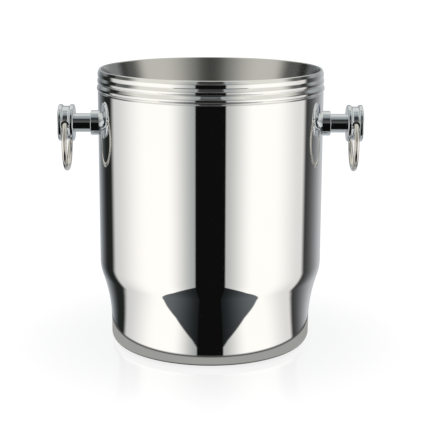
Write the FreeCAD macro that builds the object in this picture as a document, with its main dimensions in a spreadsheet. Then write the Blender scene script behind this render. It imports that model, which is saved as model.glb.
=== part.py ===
"""Double-walled champagne bucket with a beaded rim and two ring handles.

Millimetres, +Z up, origin on the table under the bucket's centre.
The bucket is a drawn outer shell and a drawn liner whose rolled lip closes over the shell's top edge.
Each handle is a stack on one long screw, put in from between the walls before the liner goes in:
lock washer, saddle washer, shell, collar, post and the knob that the screw threads into.
A ring of round wire has its turned-in ends sprung into two blind holes in the knob, and swings there.
"""
import FreeCAD
import Part

import math
import os

import Sketcher

V = FreeCAD.Vector

# Driving dimensions: name, value, what it is.
DRIVING = [
    ("height", 248.0, "table to the top of the lip"),
    ("wall_radius", 100.0, "outside of the straight wall"),
    ("gauge", 0.8, "sheet of both walls"),
    ("foot_step", 9.6, "how far the foot steps in from the wall"),
    ("foot_corner", 8.0, "outer corner radius between the foot and the base"),
    ("shoulder_low", 40.6, "height where the foot's line meets the shoulder's"),
    ("shoulder_high", 69.9, "height where the shoulder's line meets the wall's"),
    ("foot_blend", 150.0, "hollow curve under the shoulder"),
    ("shoulder_blend", 38.0, "round curve over the shoulder"),
    ("dish_radius", 62.0, "raised panel in the base"),
    ("dish_rise", 1.5, "height of that panel"),
    ("dish_run", 3.0, "width of the slope round that panel"),
    ("dish_blend", 2.0, "curves at its edge"),
    ("bead_pitch", 6.2, "crease to crease"),
    ("bead_slope", 3.1, "sloped top of a bead"),
    ("bead_under", 1.0, "undercut below a bead"),
    ("crease_depth", 1.1, "creases, in from the wall"),
    ("crease_blend", 0.4, "curve in a crease"),
    ("crest_blend", 3.0, "curve over a bead"),
    ("under_blend", 1.2, "curve under a bead"),
    ("crest_lip", -0.1, "lip bead, out from the wall"),
    ("crest_middle", 0.3, "middle bead, out from the wall"),
    ("crest_low", 0.8, "lowest bead, out from the wall"),
    ("low_bead_extra", 0.1, "the lowest bead is this much taller"),
    ("groove_depth", 0.8, "groove under the beads, in from the wall"),
    ("groove_rise", 1.4, "height of the groove's lower side"),
    ("groove_blend", 0.8, "curve in the groove"),
    ("wall_blend", 2.0, "curve from the groove to the wall"),
    ("tuck", 3.4, "top of the lip to the shell's hidden top edge"),
    ("hem_gap", 0.2, "between the rolled lip and the shell"),
    ("lip_width", 1.6, "flat width of the lip before its edges are rounded"),
    ("lip_blend", 1.1, "rounding of the lip"),
    ("funnel_drop", 24.0, "height of the liner's flared mouth"),
    ("funnel_blend", 20.0, "curve under the flared mouth"),
    ("floor_gap", 2.6, "between the shell's raised panel and the liner's floor"),
    ("foot_gap", 4.8, "between the shell's foot and the liner"),
    ("liner_corner", 9.0, "inside corner of the liner's floor"),
    ("stack_clear", 2.4, "between the screw's head and the liner"),
    ("knob_height", 199.0, "handle axis above the table"),
    ("screw_radius", 3.0, "screw thread"),
    ("screw_clear", 0.2, "round the screw in every plain hole"),
    ("screw_reach", 9.6, "thread inside the knob"),
    ("screw_spare", 1.0, "hole left past the screw's tip"),
    ("screw_head_radius", 5.25, "button head"),
    ("screw_head", 3.3, "button head's height"),
    ("screw_dome", 2.4, "rounding of the button head"),
    ("screw_point", 0.6, "rounding of the screw's tip"),
    ("socket_flats", 4.0, "hexagon socket across flats"),
    ("socket_depth", 2.0, "hexagon socket"),
    ("lock_radius", 5.9, "outside of the lock washer"),
    ("lock_gauge", 1.6, "lock washer"),
    ("lock_slit", 1.2, "gap in the lock washer"),
    ("saddle_radius", 12.0, "outside of the saddle washer"),
    ("saddle_gauge", 1.2, "saddle washer"),
    ("collar_radius", 11.0, "outside of the collar"),
    ("collar_length", 6.7, "wall to the collar's outer face"),
    ("collar_edge", 0.5, "rounded edge of the collar"),
    ("post_radius", 8.3, "outside of the post"),
    ("post_length", 14.9, "post between the collar and the knob"),
    ("post_edge", 0.3, "rounded ends of the post"),
    ("seat_depth", 1.0, "post sunk into the collar and into the knob"),
    ("seat_clear", 0.1, "round the post in its seats"),
    ("knob_length", 13.8, "knob along its axis"),
    ("flange_radius", 16.3, "two rounded rims of the knob"),
    ("flange_width", 3.2, "each rim"),
    ("flange_blend", 1.1, "rounding of the rims"),
    ("waist_radius", 14.9, "knob between its rims"),
    ("waist_blend", 1.6, "curve between the waist and a rim"),
    ("face_dish", 0.7, "shallow recess in the knob's outer face"),
    ("face_margin", 3.2, "flat border round that recess"),
    ("face_blend", 0.6, "curves at that recess's edge"),
    ("ring_web", 8.0, "handle axis to the bottom of a ring hole"),
    ("ring_clear", 0.1, "round the wire in its bearing"),
    ("ring_bearing", 4.2, "depth of the close part of a ring hole"),
    ("ring_relief", 3.6, "wide mouth of a ring hole, radius"),
    ("wire_radius", 2.25, "ring wire"),
    ("wire_blend", 0.4, "rounded wire ends"),
    ("ring_radius", 24.0, "ring, to the middle of the wire"),
    ("ring_drop", 41.0, "ring pivot to the middle of the wire at the bottom"),
    ("ring_bend", 5.0, "bend where the wire turns into its hole"),
    ("ring_end_gap", 1.0, "wire end to the bottom of its hole"),
]

# Layout worked out from the driving dimensions, as formulas in the document's second sheet.
DERIVED = [
    ("foot_radius", "dims.wall_radius - dims.foot_step"),
    ("shoulder_turn", "atan2(dims.foot_step; dims.shoulder_high - dims.shoulder_low)"),
    ("foot_room", "min(dims.shoulder_low - dims.foot_corner;"
                  " 0.74 * (dims.shoulder_high - dims.shoulder_low) / cos(layout.shoulder_turn))"),
    ("foot_bend", "min(dims.foot_blend; 0.95 * layout.foot_room / tan(layout.shoulder_turn / 2))"),
    ("shoulder_bend", "min(dims.shoulder_blend; 0.25 * (dims.shoulder_high - dims.shoulder_low)"
                      " / cos(layout.shoulder_turn) / tan(layout.shoulder_turn / 2))"),
    ("half_height", "dims.height / 2"),
    ("dish_edge", "dims.dish_radius + dims.dish_run"),
    ("crease", "dims.wall_radius - dims.crease_depth"),
    ("middle_crest", "dims.wall_radius + dims.crest_middle"),
    ("low_crest", "dims.wall_radius + dims.crest_low"),
    ("lip_crest", "dims.wall_radius + dims.crest_lip"),
    ("groove", "dims.wall_radius - dims.groove_depth"),
    ("crease_one", "dims.height - dims.bead_pitch"),
    ("middle_top", "layout.crease_one - dims.bead_slope"),
    ("crease_two", "layout.crease_one - dims.bead_pitch"),
    ("middle_bottom", "layout.crease_two + dims.bead_under"),
    ("low_top", "layout.crease_two - dims.bead_slope - dims.low_bead_extra / 2"),
    ("groove_height", "layout.crease_two - dims.bead_pitch - dims.low_bead_extra"),
    ("low_bottom", "layout.groove_height + dims.bead_under + dims.low_bead_extra / 2"),
    ("wall_top", "layout.groove_height - dims.groove_rise"),
    ("shell_top", "dims.height - dims.tuck"),
    ("shell_bore", "dims.wall_radius - dims.gauge"),
    # between the walls at the handles, from the shell inwards
    ("saddle_bore", "layout.shell_bore - dims.saddle_gauge"),
    ("lock_face", "sqrt(layout.saddle_bore ^ 2 - dims.lock_radius ^ 2)"),
    ("screw_face", "layout.lock_face - dims.lock_gauge"),
    ("screw_back", "layout.screw_face - dims.screw_head"),
    ("liner_mouth", "layout.screw_back - dims.stack_clear - dims.gauge"),
    # liner
    ("lip_outer", "layout.lip_crest - dims.lip_blend * 1.15"),
    ("lip_inner", "layout.lip_outer - dims.lip_width"),
    ("lip_top", "dims.height - dims.bead_slope"),
    ("hem_bottom", "layout.crease_one + dims.hem_gap"),
    ("funnel_bottom", "dims.height - dims.funnel_drop"),
    ("liner_floor", "dims.dish_rise + dims.gauge + dims.floor_gap + dims.gauge"),
    ("liner_foot", "layout.foot_radius - dims.gauge - dims.foot_gap - dims.gauge"),
    # handle, outwards along its axis
    ("plain_hole", "dims.screw_radius + dims.screw_clear"),
    ("collar_face", "dims.wall_radius + dims.collar_length"),
    ("collar_start", "dims.wall_radius - 2 * dims.gauge"),
    ("post_start", "layout.collar_face - dims.seat_depth"),
    ("knob_face", "layout.collar_face + dims.post_length"),
    ("post_end", "layout.knob_face + dims.seat_depth"),
    ("seat_radius", "dims.post_radius + dims.seat_clear"),
    ("knob_end", "layout.knob_face + dims.knob_length"),
    ("knob_middle", "layout.knob_face + dims.knob_length / 2"),
    ("inner_rim", "layout.knob_face + dims.flange_width"),
    ("outer_rim", "layout.knob_end - dims.flange_width"),
    ("waist_run", "(layout.outer_rim - layout.inner_rim) / 4"),
    ("waist_start", "layout.inner_rim + layout.waist_run / 2"),
    ("waist_end", "layout.outer_rim - layout.waist_run / 2"),
    ("face_lip", "dims.flange_radius - dims.face_margin"),
    ("face_radius", "layout.face_lip - dims.face_dish"),
    ("face_floor", "layout.knob_end - dims.face_dish"),
    ("screw_tip", "layout.knob_face + dims.screw_reach"),
    ("tapped_end", "layout.screw_tip + dims.screw_spare"),
    # ring
    ("ring_hole", "dims.wire_radius + dims.ring_clear"),
    ("ring_relief_floor", "dims.ring_web + dims.ring_bearing"),
    ("ring_end", "dims.ring_web + dims.ring_end_gap"),
    ("ring_centre", "dims.ring_drop - dims.ring_radius"),
    ("ring_turn", "acos((layout.ring_centre - dims.ring_bend) / (dims.ring_radius - dims.ring_bend))"),
    ("bend_start", "(dims.ring_radius - dims.ring_bend) * sin(layout.ring_turn)"),
    ("shoulder_out", "dims.ring_radius * sin(layout.ring_turn)"),
    ("shoulder_drop", "layout.ring_centre - dims.ring_radius * cos(layout.ring_turn)"),
    # cutting outlines that reach past what they cut
    ("saddle_start", "layout.saddle_bore - dims.saddle_radius / 4"),
    ("cut_radius", "dims.wall_radius * 1.2"),
    ("slit_half", "dims.lock_slit / 2"),
    ("minus_slit_half", "-layout.slit_half"),
    ("slit_top", "dims.lock_radius * 1.2"),
    ("socket_corner", "dims.socket_flats / sqrt(3)"),
    ("socket_half", "layout.socket_corner / 2"),
    ("socket_side", "dims.socket_flats / 2"),
    ("minus_socket_corner", "-layout.socket_corner"),
    ("minus_socket_half", "-layout.socket_half"),
    ("minus_socket_side", "-layout.socket_side"),
]

TURN_ABOUT_Z = FreeCAD.Rotation(V(0, 0, 1), 180)
FULL_TURN = 360
ZERO = "zero"
NEXT_TO_NOTHING = 1e-9

doc = FreeCAD.newDocument("champagne_bucket")


# ---- sheets ---------------------------------------------------------------------------------------

class Cells:
    """A spreadsheet of named formulas. A small sheet of its own for each sketch keeps the rebuild short."""

    def __init__(self, name):
        self.name = name
        self.sheet = doc.addObject("Spreadsheet::Sheet", name)
        self.rows = 0

    def add(self, alias, formula):
        """One more named cell; gives the name that expressions know it by."""
        self.rows += 1
        own = formula.replace(f"{self.name}.", "")
        self.sheet.set(f"A{self.rows}", f"={own}")
        self.sheet.setAlias(f"A{self.rows}", alias)
        return f"{self.name}.{alias}"


def fill_driving_sheet():
    """The driving dimensions as plain numbers, each with its note."""
    sheet = doc.addObject("Spreadsheet::Sheet", "dims")
    for row, (name, value, note) in enumerate(DRIVING, 1):
        sheet.set(f"A{row}", str(value))
        sheet.set(f"B{row}", note)
        sheet.setAlias(f"A{row}", name)


def number(ref):
    """The value that 'dims.name' or 'layout.name' holds."""
    sheet_name, alias = ref.split(".")
    value = doc.getObject(sheet_name).get(alias)
    return float(value.Value if hasattr(value, "Value") else value)


fill_driving_sheet()
doc.recompute()
layout = Cells("layout")
for cell_name, cell_formula in DERIVED:
    layout.add(cell_name, cell_formula)
doc.recompute()


# ---- sketches -------------------------------------------------------------------------------------

def new_body(label):
    body = doc.addObject("PartDesign::Body", label)
    body.Label = label
    return body


def new_sketch(body, name, role, shift=None, side=1):
    """A sketch on one of the body's origin planes, moved along the plane's normal by a sheet value."""
    sketch = body.newObject("Sketcher::SketchObject", name)
    plane = next(p for p in body.Origin.OriginFeatures if p.Role == role)
    sketch.AttachmentSupport = [(plane, "")]
    sketch.MapMode = "FlatFace"
    if shift:
        sign = "" if side > 0 else "-"
        sketch.setExpression("AttachmentOffset.Base.z", f"{sign}{shift}")
    doc.recompute()
    return sketch


def plain(ref):
    return "0" if ref == ZERO else ref


def point_at(x_ref, y_ref):
    return V(*(0.0 if ref == ZERO else number(ref) for ref in (x_ref, y_ref)), 0)


class Drawing:
    """Gathers a sketch's constraints, solves once, then ties the named ones to the sheets."""

    def __init__(self, sketch):
        self.sketch = sketch
        self.constraints = []
        self.ties = []

    def line(self, start, end):
        return self.sketch.addGeometry(Part.LineSegment(point_at(*start), point_at(*end)), False)

    def arc(self, start, end, towards, radius_ref, more_than_half=False):
        """An arc between two points, bulging to one side; gives its index and which end is which."""
        first, last, radius = point_at(*start), point_at(*end), number(radius_ref)
        chord_middle = (first + last) / 2
        out = (towards - chord_middle).normalize()
        rise = math.sqrt(max(radius ** 2 - (last - first).Length ** 2 / 4, 0))
        centre = chord_middle + out * (rise if more_than_half else -rise)
        angles = [math.atan2(point.y - centre.y, point.x - centre.x) for point in (first, last)]
        swept = (angles[1] - angles[0]) % (2 * math.pi)
        runs_on = (swept > math.pi) == more_than_half
        if not runs_on:
            angles.reverse()
        if angles[1] < angles[0]:
            angles[1] += 2 * math.pi
        circle_of_arc = Part.Circle(centre, V(0, 0, 1), radius)
        geo = self.sketch.addGeometry(Part.ArcOfCircle(circle_of_arc, *angles), False)
        self.tie(Sketcher.Constraint("Radius", geo, radius), radius_ref)
        return (geo, 1, 2) if runs_on else (geo, 2, 1)

    def join(self, *arguments):
        self.constraints.append(Sketcher.Constraint(*arguments))

    def tie(self, constraint, ref):
        self.ties.append((len(self.constraints), ref))
        self.constraints.append(constraint)

    def fix_point(self, geo, pos, x_ref, y_ref):
        """Holds a point at sheet values, measured from the sketch's origin."""
        for ref, kind, own_axis in ((x_ref, "DistanceX", -2), (y_ref, "DistanceY", -1)):
            value = 0.0 if ref == ZERO else number(ref)
            if abs(value) < NEXT_TO_NOTHING:
                self.join("PointOnObject", geo, pos, own_axis)
            else:
                self.tie(Sketcher.Constraint(kind, -1, 1, geo, pos, value), ref)

    def finish(self):
        first = len(self.sketch.Constraints)
        self.sketch.addConstraint(self.constraints)
        for index, ref in self.ties:
            name = f"{ref.split('.')[1]}_{first + index}"
            self.sketch.renameConstraint(first + index, name)
            self.sketch.setExpression(f"Constraints.{name}", ref)


def bearing(cells, name, start, end):
    """A cell holding the direction from one corner to another, in degrees."""
    run = f"{plain(end[0])} - ({plain(start[0])})"
    rise = f"{plain(end[1])} - ({plain(start[1])})"
    return cells.add(name, f"atan2({rise}; {run})")


def outline(sketch, corners):
    """A closed outline of straight lines through corners (x, y, rounding or None), rounded where asked."""
    drawing = Drawing(sketch)
    count = len(corners)
    cells = Cells(f"{sketch.Name}_points")
    bearings = [bearing(cells, f"way{i}", corners[i - 1], corners[i]) for i in range(count)]
    joins = []
    for i, (x, y, rounding) in enumerate(corners):
        if rounding is None:
            joins.append(((x, y), (x, y)))
            continue
        a, b = bearings[i], bearings[(i + 1) % count]
        reach = cells.add(f"reach{i}", f"{rounding} * abs(tan(({b} - {a}) / 2))")
        joins.append((
            (cells.add(f"in_x{i}", f"{plain(x)} - {reach} * cos({a})"),
             cells.add(f"in_y{i}", f"{plain(y)} - {reach} * sin({a})")),
            (cells.add(f"out_x{i}", f"{plain(x)} + {reach} * cos({b})"),
             cells.add(f"out_y{i}", f"{plain(y)} + {reach} * sin({b})"))))
    doc.recompute()
    lines = [drawing.line(joins[i - 1][1], joins[i][0]) for i in range(count)]
    for i, (x, y, rounding) in enumerate(corners):
        line_in, line_out = lines[i], lines[(i + 1) % count]
        if rounding is None:
            drawing.join("Coincident", line_in, 2, line_out, 1)
            drawing.fix_point(line_out, 1, x, y)
            continue
        drawing.fix_point(line_in, 2, *joins[i][0])
        drawing.fix_point(line_out, 1, *joins[i][1])
        towards = point_at(x, y)
        arc, near, far = drawing.arc(joins[i][0], joins[i][1], towards, rounding)
        drawing.join("Coincident", line_in, 2, arc, near)
        drawing.join("Coincident", arc, far, line_out, 1)
    drawing.finish()


def circle(sketch, radius_ref, x_ref=ZERO, y_ref=ZERO):
    """A full circle at sheet values."""
    geo = sketch.addGeometry(Part.Circle(point_at(x_ref, y_ref), V(0, 0, 1), number(radius_ref)), False)
    drawing = Drawing(sketch)
    drawing.tie(Sketcher.Constraint("Radius", geo, number(radius_ref)), radius_ref)
    drawing.fix_point(geo, 3, x_ref, y_ref)
    drawing.finish()


def revolve(body, name, corners, axis):
    """A full turn of an outline drawn on the XZ plane, about the sketch's V_Axis or H_Axis."""
    sketch = new_sketch(body, f"{name}_outline", "XZ_Plane")
    outline(sketch, corners)
    turned = body.newObject("PartDesign::Revolution", name)
    turned.Profile = sketch
    turned.ReferenceAxis = (sketch, [axis])
    turned.Angle = FULL_TURN
    doc.recompute()
    return turned


def pocket(body, name, sketch, both_ways=False, reversed_way=False, depth=None):
    """Cuts a sketch right through, or to a depth from the sheets, and makes sure that it cut something."""
    before = body.Shape.Volume
    cut = body.newObject("PartDesign::Pocket", name)
    cut.Profile = sketch
    cut.Type = "Length" if depth else "ThroughAll"
    if both_ways:
        cut.SideType = "Symmetric"
    if depth:
        cut.setExpression("Length", depth)
    cut.Reversed = reversed_way
    doc.recompute()
    if not body.Shape.Volume < before - 1e-6:
        raise RuntimeError(f"{body.Label}: {name} cut nothing")
    return cut


# ---- sheet metal ----------------------------------------------------------------------------------

def sheet_metal(body, name, chain, outer_on_left):
    """Spins a wall: a chain of corners (x, y, rounding) and its copy one gauge away on the hidden side."""
    side = 1 if outer_on_left else -1
    cells = Cells(f"{name}_metal")
    bearings = [bearing(cells, f"run{i}", chain[i], chain[i + 1]) for i in range(len(chain) - 1)]
    doc.recompute()
    hidden = []
    for i, (x, y, rounding) in enumerate(chain):
        a = bearings[max(i - 1, 0)]
        b = bearings[min(i, len(bearings) - 1)]
        share = f"({side} * dims.gauge / (1 + cos({a} - {b})))"
        off_x = cells.add(f"hidden_x{i}", f"{plain(x)} + (sin({a}) + sin({b})) * {share}")
        off_y = cells.add(f"hidden_y{i}", f"{plain(y)} - (cos({a}) + cos({b})) * {share}")
        off_rounding = None
        if rounding is not None:
            turn = (number(b) - number(a) + 180) % 360 - 180
            sign = "+" if turn * side > 0 else "-"
            off_rounding = cells.add(f"hidden_round{i}", f"{rounding} {sign} dims.gauge")
        hidden.append((off_x, off_y, off_rounding))
    if chain[0][0] == ZERO:
        hidden[0] = (ZERO, hidden[0][1], None)
    doc.recompute()
    return revolve(body, name, list(chain) + hidden[::-1], "V_Axis")


def handle_holes(body, radius_ref):
    """Holes for both handle screws, through opposite sides of a wall."""
    sketch = new_sketch(body, f"{body.Label}_hole_circle", "YZ_Plane")
    circle(sketch, radius_ref, ZERO, "dims.knob_height")
    pocket(body, f"{body.Label}_screw_holes", sketch, both_ways=True)


def make_outer_shell():
    """Drawn outer wall: dished base, foot, shoulder, wall, groove, two beads and a hidden top edge."""
    body = new_body("outer_shell")
    sheet_metal(body, "shell_foot", [
        (ZERO, "dims.dish_rise", None),
        ("dims.dish_radius", "dims.dish_rise", "dims.dish_blend"),
        ("layout.dish_edge", ZERO, "dims.dish_blend"),
        ("layout.foot_radius", ZERO, "dims.foot_corner"),
        ("layout.foot_radius", "dims.shoulder_low", "layout.foot_bend"),
        ("dims.wall_radius", "dims.shoulder_high", "layout.shoulder_bend"),
        ("dims.wall_radius", "layout.half_height", None),
    ], outer_on_left=False)
    sheet_metal(body, "shell_beads", [
        ("dims.wall_radius", "layout.half_height", None),
        ("dims.wall_radius", "layout.wall_top", "dims.wall_blend"),
        ("layout.groove", "layout.groove_height", "dims.groove_blend"),
        ("layout.low_crest", "layout.low_bottom", "dims.under_blend"),
        ("layout.low_crest", "layout.low_top", "dims.crest_blend"),
        ("layout.crease", "layout.crease_two", "dims.crease_blend"),
        ("layout.middle_crest", "layout.middle_bottom", "dims.under_blend"),
        ("layout.middle_crest", "layout.middle_top", "dims.crest_blend"),
        ("layout.crease", "layout.crease_one", "dims.crease_blend"),
        ("layout.crease", "layout.shell_top", None),
    ], outer_on_left=False)
    handle_holes(body, "layout.plain_hole")
    return body


def make_inner_liner():
    """Drawn liner: floor, tapered wall, flared mouth, and a lip rolled over the shell's edge."""
    body = new_body("inner_liner")
    sheet_metal(body, "liner_wall", [
        (ZERO, "layout.liner_floor", None),
        ("layout.liner_foot", "layout.liner_floor", "dims.liner_corner"),
        ("layout.liner_mouth", "layout.funnel_bottom", "dims.funnel_blend"),
        ("layout.lip_inner", "dims.height", "dims.lip_blend"),
        ("layout.lip_outer", "dims.height", "dims.lip_blend"),
        ("layout.lip_crest", "layout.lip_top", "dims.crest_blend"),
        ("layout.lip_crest", "layout.hem_bottom", None),
    ], outer_on_left=True)
    return body



# ---- handles --------------------------------------------------------------------------------------
# Every handle part is drawn with the handle's axis along X, as for the right-hand side.

def turned_part(label, corners):
    """A turned part: a full turn of an outline about the handle's axis."""
    body = new_body(label)
    revolve(body, f"{label}_turned", corners, "H_Axis")
    return body


def make_collar(label):
    """Short thick ferrule, its inner end cut to sit on the round wall, its outer end bored for the post."""
    body = turned_part(label, [
        ("layout.collar_start", "layout.plain_hole", None),
        ("layout.post_start", "layout.plain_hole", None),
        ("layout.post_start", "layout.seat_radius", None),
        ("layout.collar_face", "layout.seat_radius", None),
        ("layout.collar_face", "dims.collar_radius", "dims.collar_edge"),
        ("layout.collar_start", "dims.collar_radius", None),
    ])
    sketch = new_sketch(body, f"{label}_wall_circle", "XY_Plane")
    circle(sketch, "dims.wall_radius")
    pocket(body, f"{label}_saddle", sketch, both_ways=True)
    return body


def make_post(label):
    """Plain turned tube between the collar and the knob."""
    return turned_part(label, [
        ("layout.post_start", "layout.plain_hole", None),
        ("layout.post_end", "layout.plain_hole", None),
        ("layout.post_end", "dims.post_radius", "dims.post_edge"),
        ("layout.post_start", "dims.post_radius", "dims.post_edge"),
    ])


def make_knob(label):
    """Turned spool, bored for the post, tapped for the screw and drilled across for the ring's ends."""
    body = turned_part(label, [
        ("layout.post_end", "dims.screw_radius", None),
        ("layout.tapped_end", "dims.screw_radius", None),
        ("layout.tapped_end", ZERO, None),
        ("layout.face_floor", ZERO, None),
        ("layout.face_floor", "layout.face_radius", "dims.face_blend"),
        ("layout.knob_end", "layout.face_lip", "dims.face_blend"),
        ("layout.knob_end", "dims.flange_radius", "dims.flange_blend"),
        ("layout.outer_rim", "dims.flange_radius", "dims.flange_blend"),
        ("layout.waist_end", "dims.waist_radius", "dims.waist_blend"),
        ("layout.waist_start", "dims.waist_radius", "dims.waist_blend"),
        ("layout.inner_rim", "dims.flange_radius", "dims.flange_blend"),
        ("layout.knob_face", "dims.flange_radius", "dims.flange_blend"),
        ("layout.knob_face", "layout.seat_radius", None),
        ("layout.post_end", "layout.seat_radius", None),
    ])
    for side, side_name in ((1, "far"), (-1, "near")):
        for radius, start, step in (("layout.ring_hole", "dims.ring_web", "bearing"),
                                    ("dims.ring_relief", "layout.ring_relief_floor", "mouth")):
            name = f"{label}_{side_name}_{step}"
            sketch = new_sketch(body, f"{name}_circle", "XZ_Plane", start, -side)
            circle(sketch, radius, "layout.knob_middle")
            pocket(body, name, sketch, reversed_way=side < 0)
    return body


def make_ring(label):
    """Round wire bent to a C, its two ends turned in towards each other along the swing axis."""
    body = new_body(label)
    path = new_sketch(body, f"{label}_path", "YZ_Plane", "layout.knob_middle")
    drawing = Drawing(path)
    cells = Cells(f"{label}_points")
    arcs = []
    tips = []
    for side, out_name in ((1, "far"), (-1, "near")):
        sign = "" if side > 0 else "-"
        tip = (cells.add(f"{out_name}_tip", f"{sign}layout.ring_end"), ZERO)
        bend = (cells.add(f"{out_name}_bend", f"{sign}layout.bend_start"), ZERO)
        shoulder = (cells.add(f"{out_name}_out", f"{sign}layout.shoulder_out"),
                    cells.add(f"{out_name}_drop", "-layout.shoulder_drop"))
        tips.append((tip, bend, shoulder))
    doc.recompute()
    for tip, bend, shoulder in tips:
        line = drawing.line(tip, bend)
        drawing.fix_point(line, 1, *tip)
        drawing.fix_point(line, 2, *bend)
        turn, near, far = drawing.arc(bend, shoulder, V(2 * number(bend[0]), 0, 0), "dims.ring_bend")
        drawing.join("Coincident", line, 2, turn, near)
        drawing.fix_point(turn, far, *shoulder)
        arcs.append((turn, far))
    low = V(0, -number("dims.ring_drop"), 0)
    loop, near, far = drawing.arc(tips[0][2], tips[1][2], low, "dims.ring_radius", more_than_half=True)
    drawing.join("Coincident", arcs[0][0], arcs[0][1], loop, near)
    drawing.join("Coincident", arcs[1][0], arcs[1][1], loop, far)
    drawing.finish()
    section = new_sketch(body, f"{label}_wire_section", "XZ_Plane", "layout.ring_end", -1)
    circle(section, "dims.wire_radius", "layout.knob_middle")
    doc.recompute()
    wire = body.newObject("PartDesign::AdditivePipe", f"{label}_wire")
    wire.Profile = section
    wire.Spine = (path, [])
    doc.recompute()
    tip_edges = [f"Edge{i}" for i, edge in enumerate(wire.Shape.Edges, 1)
                 if abs(abs(edge.CenterOfMass.y) - number("layout.ring_end")) < NEXT_TO_NOTHING * 1000]
    blend = body.newObject("PartDesign::Fillet", f"{label}_rounded_tips")
    blend.Base = (wire, tip_edges)
    blend.setExpression("Radius", "dims.wire_blend")
    doc.recompute()
    return body


def make_screw(label):
    """Button-head screw with a hexagon socket, driven from between the walls."""
    body = turned_part(label, [
        ("layout.screw_back", ZERO, None),
        ("layout.screw_tip", ZERO, None),
        ("layout.screw_tip", "dims.screw_radius", "dims.screw_point"),
        ("layout.screw_face", "dims.screw_radius", None),
        ("layout.screw_face", "dims.screw_head_radius", None),
        ("layout.screw_back", "dims.screw_head_radius", "dims.screw_dome"),
    ])
    sketch = new_sketch(body, f"{label}_socket_outline", "YZ_Plane", "layout.screw_back")
    outline(sketch, [
        ("layout.socket_corner", ZERO, None),
        ("layout.socket_half", "layout.socket_side", None),
        ("layout.minus_socket_half", "layout.socket_side", None),
        ("layout.minus_socket_corner", ZERO, None),
        ("layout.minus_socket_half", "layout.minus_socket_side", None),
        ("layout.socket_half", "layout.minus_socket_side", None),
    ])
    pocket(body, f"{label}_socket", sketch, reversed_way=True, depth="dims.socket_depth")
    return body


def make_lock_washer(label):
    """Split spring washer under the screw's head."""
    body = turned_part(label, [
        ("layout.screw_face", "layout.plain_hole", None),
        ("layout.lock_face", "layout.plain_hole", None),
        ("layout.lock_face", "dims.lock_radius", None),
        ("layout.screw_face", "dims.lock_radius", None),
    ])
    sketch = new_sketch(body, f"{label}_slit_outline", "YZ_Plane")
    outline(sketch, [
        ("layout.slit_half", ZERO, None),
        ("layout.slit_half", "layout.slit_top", None),
        ("layout.minus_slit_half", "layout.slit_top", None),
        ("layout.minus_slit_half", ZERO, None),
    ])
    pocket(body, f"{label}_slit", sketch, both_ways=True)
    return body


def make_saddle_washer(label):
    """Wide washer pressed to the curve of the shell's inside, which spreads the handle's pull."""
    body = turned_part(label, [
        ("layout.saddle_start", "layout.plain_hole", None),
        ("dims.wall_radius", "layout.plain_hole", None),
        ("dims.wall_radius", "dims.saddle_radius", None),
        ("layout.saddle_start", "dims.saddle_radius", None),
    ])
    inside = new_sketch(body, f"{label}_inside_circle", "XY_Plane")
    circle(inside, "layout.saddle_bore")
    pocket(body, f"{label}_inside", inside, both_ways=True)
    outside = new_sketch(body, f"{label}_outside_circles", "XY_Plane")
    circle(outside, "layout.shell_bore")
    circle(outside, "layout.cut_radius")
    pocket(body, f"{label}_outside", outside, both_ways=True)
    return body


def place(item, turned=False):
    """Lifts a handle part to the handle's height, and turns it half round for the left side."""
    if turned:
        item.Placement = FreeCAD.Placement(V(0, 0, 0), TURN_ABOUT_Z)
    item.setExpression("Placement.Base.z", "dims.knob_height")


def both_sides(label, maker):
    """Two identical fasteners in one node: the right-hand one and its copy on the left."""
    pair = []
    for side in ("right", "left"):
        item = maker(f"{side}_{label}")
        place(item, turned=side == "left")
        pair.append(item)
    doc.recompute()
    group = doc.addObject("Part::Compound", label)
    group.Label = label
    group.Links = pair
    doc.recompute()
    return group


SIDED = (("collar", make_collar), ("post", make_post), ("knob", make_knob), ("ring", make_ring))
PAIRED = (("handle_screws", make_screw), ("lock_washers", make_lock_washer),
          ("saddle_washers", make_saddle_washer))

nodes = [make_outer_shell(), make_inner_liner()]
for part_name, part_maker in SIDED:
    for hand in ("left", "right"):
        piece = part_maker(f"{hand}_{part_name}")
        place(piece, turned=hand == "left")
        nodes.append(piece)
for part_name, part_maker in PAIRED:
    nodes.append(both_sides(part_name, part_maker))
doc.recompute()

for item in doc.Objects:
    if {"Invalid", "Error"} & set(item.State):
        raise RuntimeError(f"{item.Label} is in state {item.State}")
os.makedirs("parts", exist_ok=True)
for item in nodes:
    shape = item.Shape
    if shape.isNull() or not shape.isValid() or shape.Volume <= 0:
        raise RuntimeError(f"{item.Label} has no sound shape")
    shape.exportStep(f"parts/{item.Label}.step")
    print(f"{item.Label}: {len(shape.Solids)} solid(s), {shape.Volume:.1f} mm3")
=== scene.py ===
import math

import bmesh
import bpy
from mathutils import Matrix, Vector


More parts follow.
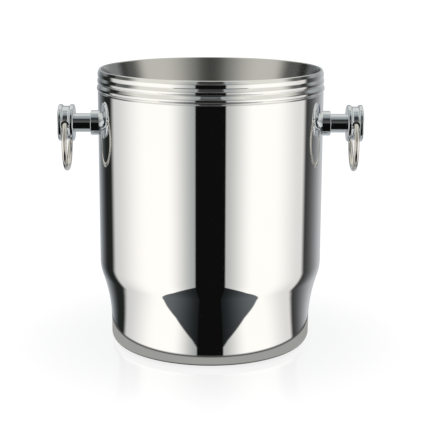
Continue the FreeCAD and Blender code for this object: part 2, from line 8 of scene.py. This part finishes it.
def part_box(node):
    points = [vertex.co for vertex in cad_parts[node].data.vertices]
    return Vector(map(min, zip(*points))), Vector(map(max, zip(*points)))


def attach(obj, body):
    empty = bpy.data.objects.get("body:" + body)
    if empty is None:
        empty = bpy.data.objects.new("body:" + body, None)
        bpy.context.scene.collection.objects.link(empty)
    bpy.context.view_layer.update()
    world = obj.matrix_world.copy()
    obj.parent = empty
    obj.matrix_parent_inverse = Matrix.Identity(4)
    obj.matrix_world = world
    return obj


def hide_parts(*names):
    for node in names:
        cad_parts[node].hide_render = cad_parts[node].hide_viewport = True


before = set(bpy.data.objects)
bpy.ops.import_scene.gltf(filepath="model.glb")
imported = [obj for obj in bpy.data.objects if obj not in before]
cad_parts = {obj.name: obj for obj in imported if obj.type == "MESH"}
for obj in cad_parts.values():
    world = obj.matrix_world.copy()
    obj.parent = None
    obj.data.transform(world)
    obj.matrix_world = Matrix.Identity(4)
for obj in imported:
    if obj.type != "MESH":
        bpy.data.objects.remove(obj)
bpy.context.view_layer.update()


# ---- Outer shell ----------------------------------------------------------------------------------
# The drawn outer wall: dished base, foot, shoulder, straight side, groove and the two lower beads.
# One sheet of stainless steel, spun against a former and mirror-polished outside.
MM = 0.001


class Value:
    """One socket of a shader, which sums and products can be written with."""

    def __init__(self, finish, socket):
        self.finish = finish
        self.socket = socket

    def __add__(self, other):
        return self.finish.maths("ADD", self, other)

    def __radd__(self, other):
        return self.finish.maths("ADD", other, self)

    def __sub__(self, other):
        return self.finish.maths("SUBTRACT", self, other)

    def __rsub__(self, other):
        return self.finish.maths("SUBTRACT", other, self)

    def __mul__(self, other):
        return self.finish.maths("MULTIPLY", self, other)

    def __rmul__(self, other):
        return self.finish.maths("MULTIPLY", other, self)

    def __truediv__(self, other):
        return self.finish.maths("DIVIDE", self, other)

    def __abs__(self):
        return self.finish.maths("ABSOLUTE", self)

    def step(self, low, high):
        """0 below low, 1 above high, and a smooth rise between them."""
        settings = {"interpolation_type": "SMOOTHSTEP"}
        inputs = {"Value": self, "From Min": low, "From Max": high}
        return self.finish.node("ShaderNodeMapRange", settings, inputs)


class Finish:
    """The nodes of one material, or of the studio's surroundings."""

    def __init__(self, tree):
        self.tree = tree
        tree.nodes.clear()

    def node(self, kind, settings=None, inputs=None, output=0):
        made = self.tree.nodes.new(kind)
        for name, setting in (settings or {}).items():
            setattr(made, name, setting)
        for name, value in (inputs or {}).items():
            if isinstance(value, Value):
                self.tree.links.new(value.socket, made.inputs[name])
            else:
                made.inputs[name].default_value = value
        return Value(self, made.outputs[output]) if made.outputs else made

    def maths(self, operation, *values):
        """One step of arithmetic on numbers and values."""
        return self.node("ShaderNodeMath", {"operation": operation}, dict(enumerate(values)))

    def mix(self, factor, colour_a, colour_b):
        """colour_a where factor is 0 and colour_b where it is 1."""
        mixer = self.tree.nodes.new("ShaderNodeMix")
        mixer.data_type = "RGBA"
        for index, value in ((0, factor), (6, colour_a), (7, colour_b)):
            if isinstance(value, Value):
                self.tree.links.new(value.socket, mixer.inputs[index])
            else:
                mixer.inputs[index].default_value = value if index == 0 else (*value, 1)
        return Value(self, mixer.outputs[2])

    def place(self, scale=(1, 1, 1)):
        """The point on the piece, in metres, stretched by scale."""
        point = self.node("ShaderNodeTexCoord", output="Object")
        return self.node("ShaderNodeMapping", inputs={"Vector": point, "Scale": scale})

    def noise(self, scale, detail, stretch=(1, 1, 1)):
        """Cloudy variation from 0 to 1, about 1/scale metres across."""
        inputs = {"Vector": self.place(stretch), "Scale": scale, "Detail": detail}
        return self.node("ShaderNodeTexNoise", inputs=inputs)

    def turned_grain(self, pitch, wander):
        """Fine lines round the upright axis, as a spinning lathe or polishing wheel leaves them."""
        upright = self.node("ShaderNodeSeparateXYZ", inputs={"Vector": self.place()}, output="Z")
        ripple = self.noise(18, 2)
        along = upright / pitch + ripple * wander
        line = self.node("ShaderNodeCombineXYZ", inputs={"X": along})
        inputs = {"Vector": line, "Scale": 1.0, "Detail": 5.0, "Roughness": 0.7}
        return self.node("ShaderNodeTexNoise", inputs=inputs)

    def surface(self, colour, roughness, height, lift, depth):
        """A metal surface; height is what its fine relief follows, up to depth in metres."""
        bump = {"Strength": lift, "Distance": depth, "Height": height}
        inputs = {
            "Base Color": colour,
            "Roughness": roughness,
            "Metallic": 1.0,
            "Normal": self.node("ShaderNodeBump", inputs=bump),
        }
        shader = self.node("ShaderNodeBsdfPrincipled", inputs=inputs)
        self.node("ShaderNodeOutputMaterial", inputs={"Surface": shader})


def new_finish(name):
    material = bpy.data.materials.new(name)
    material.use_nodes = True
    return material, Finish(material.node_tree)


ARC_STEP = math.radians(3)
SUPPORT = 0.25 * MM
LONG_RUN = 6 * SUPPORT
NEXT_TO_NOTHING = 1e-7
SAME_POINT = 1e-6
CRISP = math.radians(32)


def only(kind, items):
    """The vertices, edges or faces among the items."""
    return [item for item in items if isinstance(item, kind)]


def run_to(bm, pen, end):
    """A straight run, with a point close to each end so that the shading of a long wall stays true.

    It gives the vertex that the line has reached.
    """
    length = (end - pen.co).length
    if length < NEXT_TO_NOTHING:
        return pen
    stops = [end]
    if length > LONG_RUN:
        way = (end - pen.co).normalized()
        stops = [pen.co + way * SUPPORT, end - way * SUPPORT, end]
    for stop in stops:
        pen = bmesh.ops.extrude_vert_indiv(bm, verts=[pen])["verts"][0]
        pen.co = stop
    return pen


def trace(bm, corners, arc_step=ARC_STEP):
    """Draws a line through corners (across, up, rounding) in the XZ plane.

    Each rounding is spun as a true arc.
    """
    points = [Vector((x, 0, z)) for x, z, rounding in corners]
    pen = bm.verts.new(points[0])
    for i in range(1, len(corners)):
        rounding = corners[i][2]
        if not rounding:
            pen = run_to(bm, pen, points[i])
            continue
        back = (points[i - 1] - points[i]).normalized()
        on = (points[i + 1] - points[i]).normalized()
        half = back.angle(on) / 2
        reach = rounding / math.tan(half)
        centre = points[i] + (back + on).normalized() * (rounding / math.sin(half))
        pen = run_to(bm, pen, points[i] + back * reach)
        turn = math.pi - 2 * half
        axis = back.cross(on).normalized()
        steps = max(3, math.ceil(turn / arc_step))
        spun = bmesh.ops.spin(bm, geom=[pen], cent=centre, axis=-axis, angle=turn, steps=steps)
        pen = only(bmesh.types.BMVert, spun["geom_last"])[0]


def spin_round(bm, steps, axis=(0, 0, 1)):
    """Turns what has been drawn once round, and closes the seam and the poles."""
    geometry = bm.verts[:] + bm.edges[:]
    bmesh.ops.spin(
        bm, geom=geometry, cent=(0, 0, 0), axis=axis, angle=2 * math.pi, steps=steps, use_merge=True)
    bmesh.ops.remove_doubles(bm, verts=bm.verts[:], dist=SAME_POINT)
    bmesh.ops.recalc_face_normals(bm, faces=bm.faces[:])


def piece_from(bm, name, material):
    """Makes the object: smooth faces, with a crisp line where the surface turns by more than CRISP."""
    for face in bm.faces:
        face.smooth = True
    for edge in bm.edges:
        edge.smooth = not (edge.is_manifold and edge.calc_face_angle(0) > CRISP)
    mesh = bpy.data.meshes.new(name)
    bm.to_mesh(mesh)
    bm.free()
    mesh.materials.append(material)
    piece = bpy.data.objects.new(name, mesh)
    bpy.context.collection.objects.link(piece)
    return piece


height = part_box("inner_liner")[1][2]
low_bead_out = 0.8 * MM
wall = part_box("outer_shell")[1][0] - low_bead_out
foot = wall - 9.6 * MM
gauge = 0.8 * MM

# The base: a raised panel inside the flat ring that the bucket stands on.
panel_edge = 62 * MM
panel_rise = 1.5 * MM
panel_slope = 3 * MM
panel_rounding = 2 * MM
foot_corner = 8 * MM

# The shoulder: a hollow curve out of the foot, a straight slope, and a round curve into the wall.
shoulder = 40.6 * MM
shoulder_rise = 29.3 * MM
shoulder_rounding = 38 * MM
shoulder_turn = math.atan2(wall - foot, shoulder_rise)
slope_length = shoulder_rise / math.cos(shoulder_turn)
hollow_share = 0.703
hollow_rounding = hollow_share * slope_length / math.tan(shoulder_turn / 2)

# The beads: each rises from an undercut to its crest, and slopes back to a crease.
bead_pitch = 6.2 * MM
bead_slope = 3.1 * MM
bead_under = 1 * MM
middle_bead_out = 0.3 * MM
low_bead_extra = 0.1 * MM
crest_rounding = 3 * MM
under_rounding = 1.2 * MM
crease = wall - 1.1 * MM
crease_rounding = 0.4 * MM
crease_one = height - bead_pitch
crease_two = crease_one - bead_pitch
groove_height = crease_two - bead_pitch - low_bead_extra
groove_in = 0.8 * MM
groove_rise = 1.4 * MM
groove_rounding = 0.8 * MM
wall_rounding = 2 * MM
tuck = 3.4 * MM

SHELL_CORNERS = [
    (0, panel_rise, 0),
    (panel_edge, panel_rise, panel_rounding),
    (panel_edge + panel_slope, 0, panel_rounding),
    (foot, 0, foot_corner),
    (foot, shoulder, hollow_rounding),
    (wall, shoulder + shoulder_rise, shoulder_rounding),
    (wall, groove_height - groove_rise, wall_rounding),
    (wall - groove_in, groove_height, groove_rounding),
    (wall + low_bead_out, groove_height + bead_under + low_bead_extra / 2, under_rounding),
    (wall + low_bead_out, crease_two - bead_slope - low_bead_extra / 2, crest_rounding),
    (crease, crease_two, crease_rounding),
    (wall + middle_bead_out, crease_two + bead_under, under_rounding),
    (wall + middle_bead_out, crease_one - bead_slope, crest_rounding),
    (crease, crease_one, crease_rounding),
    (crease, height - tuck, 0),
]
ROUND_STEPS = 256

polished, finish = new_finish("mirror_polished_steel")
cloud = finish.noise(9, 3)
wipe = finish.noise(60, 4, (1, 1, 0.12))
grain = finish.turned_grain(0.9 * MM, 0.6)
finish.surface(
    finish.mix(cloud, (0.93, 0.925, 0.915), (0.88, 0.88, 0.875)),
    0.018 + 0.03 * wipe * cloud + 0.012 * grain,
    grain * 0.3 + finish.noise(14, 2), lift=0.05, depth=0.00006)

bm = bmesh.new()
trace(bm, SHELL_CORNERS)
spin_round(bm, ROUND_STEPS)
bmesh.ops.solidify(bm, geom=bm.faces[:], thickness=gauge)
shell = piece_from(bm, "spun_outer_shell", polished)
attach(shell, "bucket")
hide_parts("outer_shell")


# ---- Inner liner ----------------------------------------------------------------------------------
# The drawn inner wall with its flared mouth. One sheet of stainless steel, left satin from the lathe;
# its edge is rolled outwards and down over the shell's top edge, and polished as the rim's top bead.
liner_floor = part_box("inner_liner")[0][2] + gauge
foot_gap = 4.8 * MM
floor_rounding = 9 * MM
throat = wall - 10.278 * MM
mouth_drop = 24 * MM
throat_rounding = 20 * MM
lip = wall - 0.1 * MM
lip_rounding = 1.1 * MM
lip_outer = lip - 1.265 * MM
lip_inner = lip_outer - 1.6 * MM
hem_gap = 0.2 * MM
polish_from = lip_inner + 0.3 * MM

# The throat stays clear of the screws' heads, which stand between the walls.
LINER_CORNERS = [
    (0, liner_floor, 0),
    (foot - foot_gap - 2 * gauge, liner_floor, floor_rounding),
    (throat, height - mouth_drop, throat_rounding),
    (lip_inner, height, lip_rounding),
    (lip_outer, height, lip_rounding),
    (lip, height - bead_slope, crest_rounding),
    (lip, crease_one + hem_gap, 0),
]

satin, finish = new_finish("satin_spun_steel")
grain = finish.turned_grain(0.35 * MM, 0.5)
cloud = finish.noise(12, 3)
finish.surface(
    finish.mix(grain, (0.66, 0.655, 0.635), (0.56, 0.555, 0.54)),
    0.11 + 0.08 * grain + 0.04 * cloud,
    grain, lift=0.25, depth=0.00003)

bm = bmesh.new()
trace(bm, LINER_CORNERS)
spin_round(bm, ROUND_STEPS)
lowest = min(bm.faces, key=lambda face: face.calc_center_median().xy.length)
if lowest.normal.z < 0:
    bmesh.ops.reverse_faces(bm, faces=bm.faces[:])
bmesh.ops.solidify(bm, geom=bm.faces[:], thickness=gauge)
liner = piece_from(bm, "spun_inner_liner", satin)
liner.data.materials.append(polished)
for face in liner.data.polygons:
    face.material_index = int(face.center.xy.length > polish_from)
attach(liner, "bucket")
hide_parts("inner_liner")


# ---- Collars and posts ----------------------------------------------------------------------------
# Each handle stands off the wall on a turned brass tube, held in a short ferrule whose inner end is
# cut to the wall's curve. Both are bright-plated and clamped by the long screw that runs inside them.
collar_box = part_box("right_collar")
post_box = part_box("right_post")
knob_height = (collar_box[0][2] + collar_box[1][2]) / 2
screw_hole = 3.2 * MM
post_start, post_end = post_box[0][0], post_box[1][0]
post_radius = (post_box[1][2] - post_box[0][2]) / 2
post_edge = 0.3 * MM
collar_radius = (collar_box[1][2] - collar_box[0][2]) / 2
collar_edge = 0.5 * MM
collar_face = collar_box[1][0]
collar_back = wall - 1.2 * MM
saddle_cut = wall - 0.5 * MM
seat = post_radius + 0.1 * MM
seat_depth = 1 * MM

FITTING_ARC_STEP = math.radians(8)
FITTING_STEPS = 96


def turned_x(corners, steps=FITTING_STEPS):
    """A piece turned about the handle's axis; corners are (along X, out from the axis, rounding)."""
    bm = bmesh.new()
    trace(bm, corners, FITTING_ARC_STEP)
    spin_round(bm, steps, (1, 0, 0))
    return bm


def at_handle(bm, side):
    """Lifts a right-hand piece to the handle's height, turned half round for the left handle."""
    if side == "left":
        bmesh.ops.rotate(bm, verts=bm.verts[:], cent=(0, 0, 0), matrix=Matrix.Rotation(math.pi, 3, "Z"))
    bmesh.ops.translate(bm, verts=bm.verts[:], vec=(0, 0, knob_height))
    return bm


chrome, finish = new_finish("bright_plated_fittings")
cloud = finish.noise(90, 3)
marks = finish.noise(700, 3, (1, 0.15, 0.15))
finish.surface(
    finish.mix(cloud, (0.80, 0.84, 0.875), (0.74, 0.78, 0.82)),
    0.03 + 0.05 * marks,
    marks * 0.5 + cloud, lift=0.06, depth=0.00005)

for side in ("left", "right"):
    bm = turned_x([
        (collar_back, screw_hole, 0),
        (collar_face - seat_depth, screw_hole, 0),
        (collar_face - seat_depth, seat, 0),
        (collar_face, seat, 0),
        (collar_face, collar_radius, collar_edge),
        (collar_back, collar_radius, 0),
        (collar_back, screw_hole, 0),
    ])
    for vert in bm.verts:
        if vert.co.x < saddle_cut:
            vert.co.x = math.sqrt(wall ** 2 - vert.co.y ** 2)
    collar = piece_from(at_handle(bm, side), f"{side}_wall_collar", chrome)
    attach(collar, "bucket")
    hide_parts(f"{side}_collar")

    bm = turned_x([
        (post_start, screw_hole, 0),
        (post_end, screw_hole, 0),
        (post_end, post_radius, post_edge),
        (post_start, post_radius, post_edge),
        (post_start, screw_hole, 0),
    ])
    post = piece_from(at_handle(bm, side), f"{side}_turned_post", chrome)
    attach(post, "bucket")
    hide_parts(f"{side}_post")


# ---- Knobs ----------------------------------------------------------------------------------------
# Each post ends in a turned spool with two rounded rims and a shallow dished face, bright-plated.
# The screw threads into its back, and two blind holes in its waist take the ends of the ring.
knob_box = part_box("right_knob")
knob_start, knob_end = knob_box[0][0], knob_box[1][0]
knob_middle = (knob_start + knob_end) / 2
rim = (knob_box[1][2] - knob_box[0][2]) / 2
rim_width = 3.2 * MM
rim_rounding = 1.1 * MM
rim_lean = 0.925 * MM
rim_in, rim_out = knob_start + rim_width, knob_end - rim_width
waist = 14.9 * MM
waist_rounding = 1.6 * MM
face_dish = 0.7 * MM
face_slope = 0.7 * MM
face_margin = 3.2 * MM
face_rounding = 0.6 * MM
screw = 3 * MM
screw_depth = 10.6 * MM

KNOB_CORNERS = [
    (knob_start + seat_depth, screw, 0),
    (knob_start + screw_depth, screw, 0),
    (knob_start + screw_depth, 0, 0),
    (knob_end - face_dish, 0, 0),
    (knob_end - face_dish, rim - face_margin - face_slope, face_rounding),
    (knob_end, rim - face_margin, face_rounding),
    (knob_end, rim, rim_rounding),
    (rim_out, rim, rim_rounding),
    (rim_out - rim_lean, waist, waist_rounding),
    (rim_in + rim_lean, waist, waist_rounding),
    (rim_in, rim, rim_rounding),
    (knob_start, rim, rim_rounding),
    (knob_start, seat, 0),
    (knob_start + seat_depth, seat, 0),
    (knob_start + seat_depth, screw, 0),
]

# A stepped drill, close round the wire at the bottom and wide at the mouth.
wire = 2.25 * MM
hole_web = 8 * MM
hole_step = 12.2 * MM
hole_end = rim + 4 * MM
bearing = wire + 0.1 * MM
hole_mouth = 3.6 * MM
DRILL_CORNERS = [
    (hole_web, 0, 0),
    (hole_web, bearing, 0),
    (hole_step, bearing, 0),
    (hole_step, hole_mouth, 0),
    (hole_end, hole_mouth, 0),
    (hole_end, 0, 0),
]
DRILL_STEPS = 64


def drilled(piece, cutters):
    """Cuts the cutters' shapes out of the piece for good."""
    for cutter in cutters:
        cut = piece.modifiers.new("drilled", "BOOLEAN")
        cut.object = cutter
        cut.operation = "DIFFERENCE"
        cut.solver = "EXACT"
    mesh = bpy.data.meshes.new_from_object(piece.evaluated_get(bpy.context.evaluated_depsgraph_get()))
    piece.modifiers.clear()
    piece.data = mesh
    for cutter in cutters:
        bpy.data.objects.remove(cutter)


for side in ("left", "right"):
    bm = turned_x(KNOB_CORNERS)
    knob = piece_from(at_handle(bm, side), f"{side}_spool_knob", chrome)
    cutters = []
    for way in (1, -1):
        drill = turned_x(DRILL_CORNERS, DRILL_STEPS)
        quarter = Matrix.Rotation(way * math.pi / 2, 3, "Z")
        bmesh.ops.rotate(drill, verts=drill.verts[:], cent=(0, 0, 0), matrix=quarter)
        bmesh.ops.translate(drill, verts=drill.verts[:], vec=(knob_middle, 0, 0))
        cutters.append(piece_from(at_handle(drill, side), "drill", chrome))
    drilled(knob, cutters)
    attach(knob, "bucket")
    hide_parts(f"{side}_knob")


# ---- Rings ----------------------------------------------------------------------------------------
# Each ring is one length of round wire, bent to a C and bright-nickelled, a little warmer than the
# fittings. Its ends are turned in towards each other and sprung into the knob's two holes.
ring_radius = 24 * MM
ring_drop = knob_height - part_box("right_ring")[0][2] - wire
ring_bend = 5 * MM
ring_centre = ring_drop - ring_radius
ring_turn = math.acos((ring_centre - ring_bend) / (ring_radius - ring_bend))
bend_start = (ring_radius - ring_bend) * math.sin(ring_turn)
end_gap = 1 * MM
ring_end = hole_web + end_gap
WIRE_STEPS = 40

nickel, finish = new_finish("bright_nickelled_wire")
cloud = finish.noise(120, 3)
marks = finish.noise(900, 3, (1, 0.3, 0.3))
finish.surface(
    finish.mix(cloud, (0.86, 0.83, 0.77), (0.78, 0.755, 0.70)),
    0.05 + 0.07 * marks,
    marks * 0.4 + cloud, lift=0.08, depth=0.00005)

TURN_AT_END = (14, ring_turn)
TURN_ROUND = (96, 2 * math.pi - 2 * ring_turn)
RING_BENDS = [
    (bend_start, -ring_bend, *TURN_AT_END),
    (0, -ring_centre, *TURN_ROUND),
    (-bend_start, -ring_bend, *TURN_AT_END),
]


def run_straight(bm, end, length):
    """Draws the wire straight on from its end face, along +Y, and gives the new end face."""
    made = bmesh.ops.extrude_face_region(bm, geom=end)["geom"]
    bmesh.ops.translate(bm, verts=only(bmesh.types.BMVert, made), vec=(0, length, 0))
    return only(bmesh.types.BMFace, made)


for side in ("left", "right"):
    bm = bmesh.new()
    bmesh.ops.create_circle(bm, cap_ends=True, radius=wire, segments=WIRE_STEPS)
    upright = Matrix.Rotation(math.pi / 2, 3, "X")
    bmesh.ops.rotate(bm, verts=bm.verts[:], cent=(0, 0, 0), matrix=upright)
    bmesh.ops.translate(bm, verts=bm.verts[:], vec=(knob_middle, ring_end, 0))
    end = run_straight(bm, bm.faces[:], bend_start - ring_end)
    for across, down, steps, turn in RING_BENDS:
        centre = (knob_middle, across, down)
        spun = bmesh.ops.spin(bm, geom=end, cent=centre, axis=(-1, 0, 0), angle=turn, steps=steps)
        end = only(bmesh.types.BMFace, spun["geom_last"])
    run_straight(bm, end, bend_start - ring_end)
    bmesh.ops.remove_doubles(bm, verts=bm.verts[:], dist=SAME_POINT)
    bmesh.ops.recalc_face_normals(bm, faces=bm.faces[:])
    ring = piece_from(at_handle(bm, side), f"{side}_wire_ring", nickel)
    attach(ring, f"{side}_ring_body")
    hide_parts(f"{side}_ring")


# ---- Screws and washers ---------------------------------------------------------------------------
# Two long button-head screws hold the handles from between the walls, each with a split lock washer
# and a wide washer curved to the shell. Zinc-plated steel, dull and slightly yellowed.
zinc, finish = new_finish("zinc_plated_steel")
cloud = finish.noise(300, 4)
finish.surface(
    finish.mix(cloud, (0.62, 0.63, 0.64), (0.70, 0.68, 0.60)),
    0.30 + 0.15 * cloud,
    cloud, lift=0.2, depth=0.00003)
for name in ("handle_screws", "lock_washers", "saddle_washers"):
    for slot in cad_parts[name].material_slots:
        slot.material = zinc


# ---- Table ----------------------------------------------------------------------------------------
# A plain white table with a soft gloss, which shows a faint image of the bucket near its foot.
# Most of its white is its own glow, so that it meets the white surroundings without a line.
TABLE_REACH = 6
TABLE_GLOSS = 0.16
TABLE_GLOW = 0.92
GLOSS_FADES = (85 * MM, 240 * MM)
JUST_UNDER = -0.02 * MM


def from_axis(finish):
    """How far a point is from the bucket's axis, in metres."""
    point = finish.place()
    return finish.node("ShaderNodeVectorMath", {"operation": "LENGTH"}, {0: point}, output="Value")


def glow(finish, tone, strength=1.0):
    inputs = {"Color": (*tone, 1), "Strength": strength}
    return finish.node("ShaderNodeEmission", inputs=inputs)


def blend(finish, factor, shader_a, shader_b):
    """shader_a where factor is 0 and shader_b where it is 1."""
    return finish.node("ShaderNodeMixShader", inputs={0: factor, 1: shader_a, 2: shader_b})


bm = bmesh.new()
bmesh.ops.create_grid(bm, x_segments=1, y_segments=1, size=TABLE_REACH)
bmesh.ops.translate(bm, verts=bm.verts[:], vec=(0, 0, JUST_UNDER))
gloss_white, finish = new_finish("white_table")
nearness = 1 - from_axis(finish).step(*GLOSS_FADES)
paper = finish.node("ShaderNodeBsdfDiffuse", inputs={"Color": (0.97, 0.97, 0.97, 1)})
sheen = finish.node("ShaderNodeBsdfGlossy", inputs={"Color": (1, 1, 1, 1), "Roughness": 0.12})
white = blend(finish, TABLE_GLOW, paper, glow(finish, (1, 1, 1), 1.05))
finish.node("ShaderNodeOutputMaterial", inputs={
    "Surface": blend(finish, nearness * TABLE_GLOSS, white, sheen)})
table = piece_from(bm, "table", gloss_white)
table.visible_glossy = False


# ---- Foot shadow ----------------------------------------------------------------------------------
# The strip of table close round the foot, which the bucket keeps in shade. It shows only in polished
# metal: dark under the foot's edge, grey further out, and a thin dark outline.
strip_inner = foot - 12 * MM
STRIP_SPREAD = 1.7
STRIP_STEPS = 128
FOOT_DARK = (85.5 * MM, 89.5 * MM)
OUTLINE = (116.5 * MM, 120.5 * MM)
CLEAR = (120.5 * MM, 125.5 * MM)
bm = bmesh.new()
bmesh.ops.create_circle(bm, cap_ends=False, radius=strip_inner, segments=STRIP_STEPS)
bmesh.ops.translate(bm, verts=bm.verts[:], vec=(0, 0, 5 * JUST_UNDER))
widened = bmesh.ops.extrude_edge_only(bm, edges=bm.edges[:])["geom"]
bmesh.ops.scale(bm, verts=only(bmesh.types.BMVert, widened), vec=(STRIP_SPREAD, STRIP_SPREAD, 1))
bmesh.ops.recalc_face_normals(bm, faces=bm.faces[:])
shaded, finish = new_finish("shaded_table")
reach = from_axis(finish)
dark_edge = glow(finish, (0.05, 0.05, 0.05))
grey = glow(finish, (0.36, 0.365, 0.35))
outline = glow(finish, (0.08, 0.08, 0.08))
strip = blend(finish, reach.step(*FOOT_DARK), dark_edge, grey)
strip = blend(finish, reach.step(*OUTLINE), strip, outline)
clear = finish.node("ShaderNodeBsdfTransparent", inputs={"Color": (1, 1, 1, 1)})
finish.node("ShaderNodeOutputMaterial", inputs={
    "Surface": blend(finish, reach.step(*CLEAR), strip, clear)})
foot_shadow = piece_from(bm, "foot_shadow", shaded)
foot_shadow.visible_camera = False
foot_shadow.visible_diffuse = False
foot_shadow.visible_shadow = False


# ---- Studio ---------------------------------------------------------------------------------------
# White surroundings, with what polished metal sees in such a studio: a black flag round the camera,
# a large soft white panel each side of it, a dark gap past each panel, and a dim grey backdrop.
# Bearings are degrees round from the camera, and rises are degrees above the horizontal.
world = bpy.data.worlds.new("studio")
bpy.context.scene.world = world
world.use_nodes = True
world.cycles.sampling_method = "NONE"
finish = Finish(world.node_tree)
way = finish.node("ShaderNodeTexCoord", output="Generated")
east, north, up = (
    finish.node("ShaderNodeSeparateXYZ", inputs={0: way}, output=axis) for axis in range(3))
bearing = finish.maths("ARCTAN2", east, north * -1) * math.degrees(1)
rise = finish.maths("ARCSINE", up) * math.degrees(1)
fall = rise * -1
aside = abs(bearing)
right = bearing.step(-1, 1)


def either(left_value, right_value):
    """left_value on the left of the camera, and right_value on its right."""
    return left_value + (right_value - left_value) * right


# The two panels: dim beside the flag, bright in the middle, dimmer again further round.
PANEL = (1.11, 1.09, 1.05)
PANEL_BRIGHTENS = (13, 45)
panel_dims = (66, either(117, 105))
panel_ends = (either(113, 106), either(123, 114))
near_flag = finish.mix(right, (0.38, 0.40, 0.40), (0.50, 0.51, 0.50))
far_end = finish.mix(right, (0.66, 0.66, 0.65), (0.78, 0.77, 0.75))
panel = finish.mix(aside.step(*PANEL_BRIGHTENS), near_flag, PANEL)
panel = finish.mix(aside.step(*panel_dims), panel, far_end)

# Past each panel: a dark gap, then the backdrop, which joins up behind.
BEHIND = (0.50, 0.52, 0.54)
BEHIND_FROM = (150, 178)
gap_ends = (either(132, 113), 168)
gap = finish.mix(right, (0.017, 0.020, 0.018), (0.050, 0.050, 0.051))
backdrop = finish.mix(right, (0.36, 0.39, 0.42), (0.60, 0.61, 0.63))
beyond = finish.mix(aside.step(*gap_ends), gap, backdrop)
beyond = finish.mix(aside.step(*BEHIND_FROM), beyond, BEHIND)
level = finish.mix(aside.step(*panel_ends), panel, beyond)

# Above the horizontal: dim over the camera, lighter to the sides, dark again past the panels.
OVER_FLAG = (0.085, 0.085, 0.08)
UPPER = (0.80, 0.79, 0.74)
UPPER_DIM = (0.12, 0.125, 0.12)
CEILING = (0.36, 0.385, 0.39)
UPPER_BRIGHTENS = (0, 60)
UPPER_DIMS = (78, 99)
UPPER_RISES = (2, 14)
upper_ends = (either(113, 105), either(118, 110))
upper_gap_ends = (either(126, 114), either(140, 128))
upper = finish.mix(aside.step(*UPPER_BRIGHTENS), OVER_FLAG, UPPER)
upper = finish.mix(aside.step(*UPPER_DIMS), upper, UPPER_DIM)
upper = finish.mix(aside.step(*upper_ends), upper, gap)
upper = finish.mix(aside.step(*upper_gap_ends), upper, CEILING)
view = finish.mix(rise.step(*UPPER_RISES), level, upper)

# The flag, and its foot, which spreads out below the camera towards the table.
FLAG = (0.0045, 0.0045, 0.0045)
FLAG_HALF = 15
FLAG_SIDE = (14.2, 15.2)
FLAG_TOP = (3, 14)
FOOT_NEAR = (0.011, 0.013, 0.014)
FOOT_FAR = (0.15, 0.165, 0.175)
FOOT_LIGHTENS = (12, 68)
FOOT_SOFTNESS = 1.5
SPREADS_FROM = 20
FLARES_FROM = 38
spread = (fall - SPREADS_FROM) * 1.55
flare = (fall - FLARES_FROM) * 0.7
foot_side = FLAG_HALF + finish.maths("MAXIMUM", spread, 0) + finish.maths("MAXIMUM", flare, 0)
flag_foot = finish.mix(aside.step(*FOOT_LIGHTENS), FOOT_NEAR, FOOT_FAR)
below = 1 - rise.step(*FLAG_TOP)
foot_here = (1 - (aside - foot_side).step(-FOOT_SOFTNESS, FOOT_SOFTNESS)) * below
flag_here = (1 - aside.step(*FLAG_SIDE)) * below
view = finish.mix(foot_here, view, flag_foot)
view = finish.mix(flag_here, view, FLAG)

# The dark boom over the camera, the light overhead, and the floor straight down.
BOOM = (0.045, 0.047, 0.046)
BOOM_SIDE = (12, 16)
BOOM_RISES = (28, 34)
OVERHEAD_SIDE = (18, 45)
OVERHEAD_FROM, OVERHEAD_FADE = 50, 14
OVERHEAD_DROP, DROPS_AT = 26, (13, 17)
ZENITH = (74, 86)
FLOOR = (0.45, 0.455, 0.44)
STRAIGHT_DOWN = (69, 80)
overhead = finish.mix(aside.step(*OVERHEAD_SIDE), CEILING, UPPER)
overhead = finish.mix(rise.step(*ZENITH), overhead, CEILING)
boom_here = (1 - aside.step(*BOOM_SIDE)) * rise.step(*BOOM_RISES)
view = finish.mix(boom_here, view, BOOM)
overhead_from = OVERHEAD_FROM - aside.step(*DROPS_AT) * OVERHEAD_DROP
view = finish.mix(rise.step(overhead_from, overhead_from + OVERHEAD_FADE), view, overhead)
view = finish.mix(fall.step(*STRAIGHT_DOWN), view, FLOOR)

# Only polished metal sees the pattern; everything else is lit by plain white.
rays = finish.node("ShaderNodeLightPath", output="Is Glossy Ray")
seen = finish.mix(rays, (1.0, 1.0, 1.0), view)
light = finish.node("ShaderNodeBackground", inputs={"Color": seen, "Strength": 1.0})
finish.node("ShaderNodeOutputWorld", inputs={"Surface": light})
bpy.context.scene.view_settings.view_transform = "Standard"


# ---- Camera ---------------------------------------------------------------------------------------
# Set back a metre and a little above the rim, as for a catalogue.
EYE = (0, -1.100, 0.3656)
TILT, YAW, ROLL = math.radians(12.858), math.radians(0.218), math.radians(0.2)
lens = bpy.data.cameras.new("camera")
lens.sensor_width = 36
lens.lens = 103.8977
camera = bpy.data.objects.new("camera", lens)
bpy.context.collection.objects.link(camera)
camera.matrix_world = (
    Matrix.Translation(EYE)
    @ Matrix.Rotation(-YAW, 4, "Z")
    @ Matrix.Rotation(math.pi / 2 - TILT, 4, "X")
    @ Matrix.Rotation(ROLL, 4, "Z"))
bpy.context.scene.camera = camera
